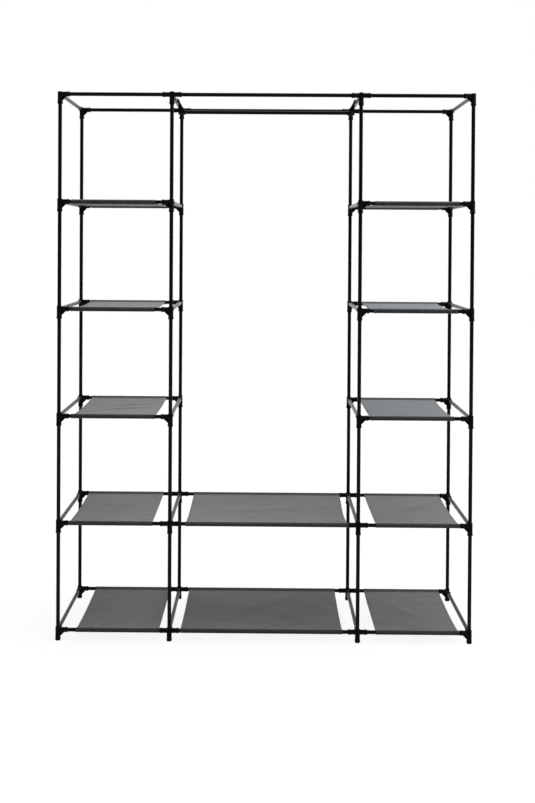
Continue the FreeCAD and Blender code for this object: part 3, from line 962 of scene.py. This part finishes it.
    def seam_lines(self):
        """Lines of (share, along, lift above, lift below) for the stitches, with the lifts in layers."""
        look = self.look
        lines = []
        seam = self.half - look.allowance * 0.5
        hem = look.hem * 0.75 / (self.right[0] - self.left[0])
        for along in (-seam, seam):
            shares = [hem * 0.3 + (1 - hem * 0.6) * step / 60 for step in range(61)]
            lines.append([(share, along, 0.5, 1.6) for share in shares])
        for share in (hem, 1 - hem):
            places = [seam * (2 * step / 80 - 1) for step in range(81)]
            lines.append([(share, along, 0.75, 0.75) for along in places])
        return lines


class WARDROBE_OT_shelves(bpy.types.Operator):
    """Makes the cloth shelves with their sleeves, hems and stitches"""

    bl_idname = "wardrobe.shelves"
    bl_label = "Cloth shelves"

    def execute(self, context):
        look = context.scene.wardrobe.cloth
        fabric = cloth_finish(look.colour)
        thread = thread_finish(look.thread_colour)
        tree = stitch_tree()
        for bay, count in SHELF_COUNT.items():
            for number in range(1, count + 1):
                cloth = Cloth(look, bay, number)
                node = f"shelf_cloth_{bay}_{number}"
                sheet = self.sheet(cloth, look, node, fabric)
                rows = self.stitches(cloth, look, node, tree, thread)
                dress(sheet, node, "shelf_cloth", node)
                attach(rows, node)
        return {"FINISHED"}

    def sheet(self, cloth, look, node, fabric):
        """The cloth itself, with its thickness and thicker hems."""
        mesh, hems = cloth.mesh()
        mesh.materials.append(fabric)
        obj = add_object(f"{node}_sheet", mesh)
        group = obj.vertex_groups.new(name="hem")
        group.add(list(range(len(mesh.vertices))), 2 / 3, "REPLACE")
        group.add(hems, 1.0, "REPLACE")
        solid = obj.modifiers.new("layer", "SOLIDIFY")
        solid.thickness = look.thickness * 1.5
        solid.offset = 0
        solid.vertex_group = "hem"
        solid.use_quality_normals = True
        settle(obj)
        obj.vertex_groups.clear()
        bm = bmesh.new()
        bm.from_mesh(obj.data)
        obj.data = mesh_from(bm, node, fabric, math.radians(50))
        return obj

    def stitches(self, cloth, look, node, tree, thread):
        """Rows of stitches on both faces of the cloth."""
        verts = []
        ups = []
        edges = []
        for line in cloth.seam_lines():
            for face in (1, -1):
                for step, (share, along, above, below) in enumerate(line):
                    normal = cloth.sheet_normal(share, along) * face
                    lift = look.thickness * (above if face == 1 else below)
                    if step:
                        edges.append((len(verts) - 1, len(verts)))
                    verts.append(cloth.sheet_point(share, along) + normal * lift)
                    ups.append(normal)
        mesh = bpy.data.meshes.new(f"{node}_seams")
        mesh.from_pydata(verts, edges, [])
        attribute = mesh.attributes.new("up", "FLOAT_VECTOR", "POINT")
        attribute.data.foreach_set("vector", [part for up in ups for part in up])
        obj = add_object(f"{node}_stitches", mesh)
        return grow(
            obj, tree, Pitch=look.stitch_pitch, Length=look.stitch_length, Thread=look.thread, Finish=thread
        )


class WARDROBE_OT_stage(bpy.types.Operator):
    """Makes the floor, the light and the camera"""

    bl_idname = "wardrobe.stage"
    bl_label = "Stage"

    def execute(self, context):
        look = context.scene.wardrobe.stage
        bm = bmesh.new()
        bmesh.ops.create_grid(bm, x_segments=8, y_segments=8, size=9)
        floor = add_object("floor", mesh_from(bm, "floor", floor_finish(look.floor)))
        self.sky(context, look)
        self.lamp(context, "key", (1.1, 0.5, 5.4), 4.2, look.key, (1, 1, 1))
        self.lamp(context, "side", (2.2, -0.5, 2.2), 1.2, look.key * 0.13, (0.68, 0.84, 1))
        camera = bpy.data.cameras.new("camera")
        camera.lens = look.lens
        camera.sensor_width = 36
        camera.shift_x, camera.shift_y = look.shift
        viewer = bpy.data.objects.new("camera", camera)
        context.scene.collection.objects.link(viewer)
        viewer.location = look.camera
        pitch, roll, yaw = look.turn
        viewer.rotation_euler = (math.pi / 2 + pitch, roll, yaw)
        context.scene.camera = viewer
        context.scene.view_settings.view_transform = "Standard"
        return {"FINISHED"}

    def sky(self, context, look):
        """Soft light from all round, dimmer from the front, which a camera sees as white."""
        world = bpy.data.worlds.new("studio")
        world.use_nodes = True
        context.scene.world = world
        tree = world.node_tree
        rays = add_node(tree, "ShaderNodeLightPath", {}, {})
        way = add_node(tree, "ShaderNodeTexCoord", {}, {})
        split = add_node(tree, "ShaderNodeSeparateXYZ", {}, {"Vector": way.outputs["Generated"]})
        back = Value(tree, split.outputs["Y"]) * 0.38
        wall = back + 0.62
        soft = back + Value(tree, split.outputs["Z"]) * 0.3 + 0.36
        seen = Value(tree, rays.outputs["Is Camera Ray"])
        seen = seen.highest(Value(tree, rays.outputs["Is Transmission Ray"]))
        seen = seen.highest(Value(tree, rays.outputs["Is Glossy Ray"]) * wall)
        join(tree, seen.highest(soft * look.sky), tree.nodes["Background"].inputs["Strength"])
        tree.nodes["Background"].inputs["Color"].default_value = (1, 1, 1, 1)

    def lamp(self, context, name, place, size, power, colour):
        """A large soft lamp that points at the middle of the wardrobe."""
        light = bpy.data.lights.new(name, "AREA")
        light.energy = power
        light.color = colour
        light.shape = "SQUARE"
        light.size = size
        lamp = bpy.data.objects.new(name, light)
        context.scene.collection.objects.link(lamp)
        lamp.location = place
        aim = Vector((0, 0, 0.7)) - Vector(place)
        lamp.rotation_euler = aim.to_track_quat("-Z", "Y").to_euler()


class WARDROBE_PT_panel(bpy.types.Panel):
    """Sizes, colours and steps of the wardrobe"""

    bl_idname = "WARDROBE_PT_panel"
    bl_label = "Wardrobe"
    bl_space_type = "VIEW_3D"
    bl_region_type = "UI"
    bl_category = "Wardrobe"

    def draw(self, context):
        settings = context.scene.wardrobe
        for name in ("tubes", "connectors", "cloth", "stage"):
            box = self.layout.box()
            group = getattr(settings, name)
            for item in group.bl_rna.properties:
                if item.identifier not in ("name", "rna_type"):
                    box.prop(group, item.identifier)
        for step in STEPS:
            self.layout.operator(step.bl_idname)


STEPS = (
    WARDROBE_OT_tubes,
    WARDROBE_OT_connectors,
    WARDROBE_OT_rod_holders,
    WARDROBE_OT_feet,
    WARDROBE_OT_shelves,
    WARDROBE_OT_stage,
)
GROUPS = (TubeSettings, ConnectorSettings, ClothSettings, StageSettings, WardrobeSettings)


def register():
    """Registers the settings, the steps and the panel."""
    for item in (*GROUPS, *STEPS, WARDROBE_PT_panel):
        bpy.utils.register_class(item)
    bpy.types.Scene.wardrobe = PointerProperty(type=WardrobeSettings)


def unregister():
    """Removes them again."""
    del bpy.types.Scene.wardrobe
    for item in reversed((*GROUPS, *STEPS, WARDROBE_PT_panel)):
        bpy.utils.unregister_class(item)


def main():
    """Makes every piece in order."""
    register()
    bpy.ops.wardrobe.tubes()
    bpy.ops.wardrobe.connectors()
    bpy.ops.wardrobe.rod_holders()
    bpy.ops.wardrobe.feet()
    bpy.ops.wardrobe.shelves()
    bpy.ops.wardrobe.stage()
    bpy.context.view_layer.update()


if __name__ == "__main__":
    main()
